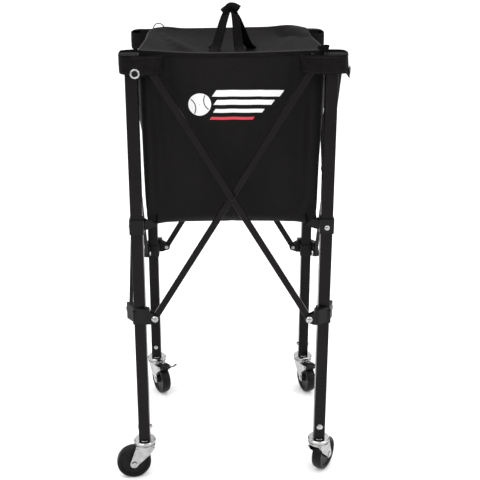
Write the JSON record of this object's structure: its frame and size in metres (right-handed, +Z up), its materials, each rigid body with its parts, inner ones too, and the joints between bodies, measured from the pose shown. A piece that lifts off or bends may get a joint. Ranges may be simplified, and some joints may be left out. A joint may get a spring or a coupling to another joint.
{
  "type": "tennis ball cart",
  "caption": "Folding wheeled ball hopper cart: square-tube scissor frame on swivel casters holding a zip-top fabric bag.",
  "frame": {"origin": "on the floor, at the centre of the square that the four leg axes make", "axes": "+Z up, -Y to the front, +X to the cart's right as seen from the front"},
  "size_m": [0.5234, 0.4776, 1.0747],
  "materials": {
    "frame_paint": "semi-gloss powder coat",
    "bar_paint": "semi-gloss powder coat",
    "bracket_plastic": "fine moulded texture",
    "zinc_fasteners": "bright zinc plate",
    "zinc_casters": "bright zinc plate",
    "wheel_rubber": "moulded, satin",
    "webbing": "ribbed nylon webbing",
    "grip_fabric": "padded woven nylon",
    "zip_metal": "nickel plate",
    "lid_fabric": "coated nylon, plain weave",
    "bag_fabric": "coated nylon, plain weave"
  },
  "bodies": {
    "front_right_leg": {"front_right_leg": "frame_paint", "front_right_top_bracket": "bracket_plastic", "front_right_mid_bracket": "bracket_plastic", "front_right_leg_hardware": "zinc_fasteners", "front_right_straps": "webbing", "bag_right_wall": "bag_fabric"},
    "front_right_slider": {"front_right_slider": "bracket_plastic", "front_right_slider_bolts": "zinc_fasteners"},
    "front_right_caster": {"front_right_caster_fork": "zinc_casters"},
    "front_right_wheel": {"front_right_caster_wheel": "wheel_rubber"},
    "rear_right_leg": {"rear_right_leg": "frame_paint", "rear_right_top_bracket": "bracket_plastic", "rear_right_mid_bracket": "bracket_plastic", "rear_right_leg_hardware": "zinc_fasteners", "rear_right_straps": "webbing"},
    "rear_right_slider": {"rear_right_slider": "bracket_plastic", "rear_right_slider_bolts": "zinc_fasteners"},
    "rear_right_caster": {"rear_right_caster_fork": "zinc_casters"},
    "rear_right_wheel": {"rear_right_caster_wheel": "wheel_rubber"},
    "rear_left_leg": {"rear_left_leg": "frame_paint", "rear_left_top_bracket": "bracket_plastic", "rear_left_mid_bracket": "bracket_plastic", "rear_left_leg_hardware": "zinc_fasteners", "rear_left_straps": "webbing", "bag_rear_wall": "bag_fabric"},
    "rear_left_slider": {"rear_left_slider": "bracket_plastic", "rear_left_slider_bolts": "zinc_fasteners"},
    "rear_left_caster": {"rear_left_caster_fork": "zinc_casters"},
    "rear_left_wheel": {"rear_left_caster_wheel": "wheel_rubber"},
    "front_left_leg": {"front_left_leg": "frame_paint", "front_left_top_bracket": "bracket_plastic", "front_left_mid_bracket": "bracket_plastic", "front_left_leg_hardware": "zinc_fasteners", "front_left_straps": "webbing", "bag_front_wall": "bag_fabric", "bag_left_wall": "bag_fabric"},
    "front_left_slider": {"front_left_slider": "bracket_plastic", "front_left_slider_bolts": "zinc_fasteners"},
    "front_left_caster": {"front_left_caster_fork": "zinc_casters"},
    "front_left_wheel": {"front_left_caster_wheel": "wheel_rubber"},
    "front_outer_bar": {"front_outer_bar": "bar_paint"},
    "front_inner_bar": {"front_inner_bar": "bar_paint"},
    "right_outer_bar": {"right_outer_bar": "bar_paint"},
    "right_inner_bar": {"right_inner_bar": "bar_paint"},
    "rear_outer_bar": {"rear_outer_bar": "bar_paint"},
    "rear_inner_bar": {"rear_inner_bar": "bar_paint"},
    "left_outer_bar": {"left_outer_bar": "bar_paint"},
    "left_inner_bar": {"left_inner_bar": "bar_paint"},
    "rear_left_brake_lever": {"rear_left_brake_lever": "zinc_casters"},
    "rear_right_brake_lever": {"rear_right_brake_lever": "zinc_casters"},
    "bag_bottom_front": {"bag_bottom_front": "bag_fabric"},
    "bag_bottom_rear": {"bag_bottom_rear": "bag_fabric"},
    "bag_lid_hem": {"bag_lid_hem": "lid_fabric"},
    "bag_lid_rear": {"bag_lid_rear": "lid_fabric"},
    "bag_lid_front": {"bag_lid_front": "lid_fabric"},
    "handle_front_loop": {"handle_front_loop": "webbing", "handle_grip_wrap": "grip_fabric"},
    "handle_rear_loop": {"handle_rear_loop": "webbing"},
    "zipper_pull": {"zipper_pull": "zip_metal"}
  },
  "joints": [
    {"name": "fold", "type": "hinge", "parent": "front_left_leg", "child": "front_outer_bar", "pos_m": [-0.1693, -0.2265, 0.9707], "axis": [0, 1, 0], "range_deg": [0, 25.55], "deforming": ["bag_front_wall", "bag_left_wall", "bag_right_wall", "bag_rear_wall", "bag_bottom_front", "bag_bottom_rear", "bag_lid_hem", "bag_lid_rear", "bag_lid_front", "handle_front_loop", "handle_rear_loop", "handle_grip_wrap"]},
    {"name": "front_crossing", "type": "hinge", "parent": "front_outer_bar", "child": "front_inner_bar", "pos_m": [0, -0.22225, 0.69185], "axis": [0, 1, 0], "range_deg": [-51.11, 0.02]},
    {"name": "front_right_leg_pivot", "type": "hinge", "parent": "front_inner_bar", "child": "front_right_leg", "pos_m": [0.1693, -0.218, 0.9707], "axis": [0, 1, 0], "range_deg": [-0.02, 25.57]},
    {"name": "front_left_slider_pivot", "type": "hinge", "parent": "front_inner_bar", "child": "front_left_slider", "pos_m": [-0.1693, -0.218, 0.413], "axis": [0, 1, 0], "range_deg": [-0.02, 25.57]},
    {"name": "front_right_slider_pivot", "type": "hinge", "parent": "front_outer_bar", "child": "front_right_slider", "pos_m": [0.1693, -0.2265, 0.413], "axis": [0, 1, 0], "range_deg": [-25.57, 0.02]},
    {"name": "left_inner_bar_pivot", "type": "hinge", "parent": "front_left_leg", "child": "left_inner_bar", "pos_m": [-0.218, -0.1693, 0.9707], "axis": [-1, 0, 0], "range_deg": [-0.02, 25.57]},
    {"name": "left_crossing", "type": "hinge", "parent": "left_inner_bar", "child": "left_outer_bar", "pos_m": [-0.22225, 0, 0.69185], "axis": [-1, 0, 0], "range_deg": [-51.11, 0.02]},
    {"name": "rear_left_leg_pivot", "type": "hinge", "parent": "left_outer_bar", "child": "rear_left_leg", "pos_m": [-0.2265, 0.1693, 0.9707], "axis": [-1, 0, 0], "range_deg": [-0.02, 25.57]},
    {"name": "rear_left_slider_pivot", "type": "hinge", "parent": "left_inner_bar", "child": "rear_left_slider", "pos_m": [-0.218, 0.1693, 0.413], "axis": [-1, 0, 0], "range_deg": [-25.57, 0.02]},
    {"name": "right_outer_bar_pivot", "type": "hinge", "parent": "front_right_leg", "child": "right_outer_bar", "pos_m": [0.2265, -0.1693, 0.9707], "axis": [-1, 0, 0], "range_deg": [-0.02, 25.57]},
    {"name": "right_crossing", "type": "hinge", "parent": "right_outer_bar", "child": "right_inner_bar", "pos_m": [0.22225, 0, 0.69185], "axis": [-1, 0, 0], "range_deg": [-51.11, 0.02]},
    {"name": "rear_right_leg_pivot", "type": "hinge", "parent": "right_inner_bar", "child": "rear_right_leg", "pos_m": [0.218, 0.1693, 0.9707], "axis": [-1, 0, 0], "range_deg": [-0.02, 25.57]},
    {"name": "rear_right_slider_pivot", "type": "hinge", "parent": "right_outer_bar", "child": "rear_right_slider", "pos_m": [0.2265, 0.1693, 0.413], "axis": [-1, 0, 0], "range_deg": [-25.57, 0.02]},
    {"name": "rear_inner_bar_pivot", "type": "hinge", "parent": "rear_left_leg", "child": "rear_inner_bar", "pos_m": [-0.1693, 0.218, 0.9707], "axis": [0, 1, 0], "range_deg": [-0.02, 25.57]},
    {"name": "rear_crossing", "type": "hinge", "parent": "rear_inner_bar", "child": "rear_outer_bar", "pos_m": [0, 0.22225, 0.69185], "axis": [0, 1, 0], "range_deg": [-51.11, 0.02]},
    {"name": "front_right_swivel", "type": "hinge", "parent": "front_right_leg", "child": "front_right_caster", "pos_m": [0.2032, -0.2032, 0.09], "axis": [0, 0, 1], "continuous": true},
    {"name": "front_right_wheel_spin", "type": "hinge", "parent": "front_right_caster", "child": "front_right_wheel", "pos_m": [0.2179, -0.18056, 0.04], "axis": [-0.8387, 0.5446, 0], "continuous": true},
    {"name": "rear_right_swivel", "type": "hinge", "parent": "rear_right_leg", "child": "rear_right_caster", "pos_m": [0.2032, 0.2032, 0.09], "axis": [0, 0, 1], "continuous": true},
    {"name": "rear_right_wheel_spin", "type": "hinge", "parent": "rear_right_caster", "child": "rear_right_wheel", "pos_m": [0.21199, 0.17767, 0.04], "axis": [0.9455, 0.3256, 0], "continuous": true},
    {"name": "rear_right_brake", "type": "hinge", "parent": "rear_right_caster", "child": "rear_right_brake_lever", "pos_m": [0.21964, 0.15545, 0.082], "axis": [0.9455, 0.3256, 0], "range_deg": [0, 22]},
    {"name": "rear_left_swivel", "type": "hinge", "parent": "rear_left_leg", "child": "rear_left_caster", "pos_m": [-0.2032, 0.2032, 0.09], "axis": [0, 0, 1], "continuous": true},
    {"name": "rear_left_wheel_spin", "type": "hinge", "parent": "rear_left_caster", "child": "rear_left_wheel", "pos_m": [-0.19052, 0.17936, 0.04], "axis": [0.8829, 0.4695, 0], "continuous": true},
    {"name": "rear_left_brake", "type": "hinge", "parent": "rear_left_caster", "child": "rear_left_brake_lever", "pos_m": [-0.17949, 0.15861, 0.082], "axis": [0.8829, 0.4695, 0], "range_deg": [0, 22]},
    {"name": "front_left_swivel", "type": "hinge", "parent": "front_left_leg", "child": "front_left_caster", "pos_m": [-0.2032, -0.2032, 0.09], "axis": [0, 0, 1], "continuous": true},
    {"name": "front_left_wheel_spin", "type": "hinge", "parent": "front_left_caster", "child": "front_left_wheel", "pos_m": [-0.22994, -0.20696, 0.04], "axis": [0.1392, -0.9903, 0], "continuous": true},
    {"name": "bag_bottom_front_fold", "type": "hinge", "parent": "front_left_leg", "child": "bag_bottom_front", "pos_m": [0, -0.186, 0.6365], "axis": [-1, 0, 0], "range_deg": [-0.02, 74.66]},
    {"name": "bag_bottom_rear_fold", "type": "hinge", "parent": "rear_left_leg", "child": "bag_bottom_rear", "pos_m": [0, 0.186, 0.6365], "axis": [1, 0, 0], "range_deg": [-0.02, 74.66]},
    {"name": "bag_lid_hem_fold", "type": "hinge", "parent": "rear_left_leg", "child": "bag_lid_hem", "pos_m": [0, 0.1855, 0.9915], "axis": [-1, 0, 0], "range_deg": [-0.02, 74.8]},
    {"name": "lid_open", "type": "hinge", "parent": "bag_lid_hem", "child": "bag_lid_rear", "pos_m": [0, 0.15535, 0.9926], "axis": [1, 0, 0], "range_deg": [-170, 0]},
    {"name": "bag_lid_front_fold", "type": "hinge", "parent": "bag_lid_rear", "child": "bag_lid_front", "pos_m": [0, 0, 0.9915], "axis": [1, 0, 0], "range_deg": [-0.02, 149.58]},
    {"name": "handle_rear_loop_fold", "type": "hinge", "parent": "bag_lid_rear", "child": "handle_rear_loop", "pos_m": [0, 0.045, 0.9939], "axis": [1, 0, 0], "range_deg": [-0.02, 43.45]},
    {"name": "handle_front_loop_fold", "type": "hinge", "parent": "bag_lid_front", "child": "handle_front_loop", "pos_m": [0, -0.045, 0.9939], "axis": [-1, 0, 0], "range_deg": [-0.02, 43.45]},
    {"name": "zipper_slide", "type": "slide", "parent": "front_right_leg", "child": "zipper_pull", "axis": [1, 0, 0], "range_m": [-0.32, 0]}
  ],
  "couplings": [
    {"joint": "front_crossing", "follows": "fold", "ratio": -2},
    {"joint": "front_right_leg_pivot", "follows": "fold", "ratio": 1},
    {"joint": "front_left_slider_pivot", "follows": "fold", "ratio": 1},
    {"joint": "front_right_slider_pivot", "follows": "fold", "ratio": -1},
    {"joint": "left_inner_bar_pivot", "follows": "fold", "ratio": 1},
    {"joint": "left_crossing", "follows": "fold", "ratio": -2},
    {"joint": "rear_left_leg_pivot", "follows": "fold", "ratio": 1},
    {"joint": "rear_left_slider_pivot", "follows": "fold", "ratio": -1},
    {"joint": "right_outer_bar_pivot", "follows": "fold", "ratio": 1},
    {"joint": "right_crossing", "follows": "fold", "ratio": -2},
    {"joint": "rear_right_leg_pivot", "follows": "fold", "ratio": 1},
    {"joint": "rear_right_slider_pivot", "follows": "fold", "ratio": -1},
    {"joint": "rear_inner_bar_pivot", "follows": "fold", "ratio": 1},
    {"joint": "rear_crossing", "follows": "fold", "ratio": -2},
    {"joint": "bag_bottom_front_fold", "follows": "fold", "ratio": 2.9217},
    {"joint": "bag_bottom_rear_fold", "follows": "fold", "ratio": 2.9217},
    {"joint": "bag_lid_hem_fold", "follows": "fold", "ratio": 2.9273},
    {"joint": "bag_lid_front_fold", "follows": "fold", "ratio": 5.8545},
    {"joint": "handle_rear_loop_fold", "follows": "fold", "ratio": 1.7},
    {"joint": "handle_front_loop_fold", "follows": "fold", "ratio": 1.7}
  ]
}
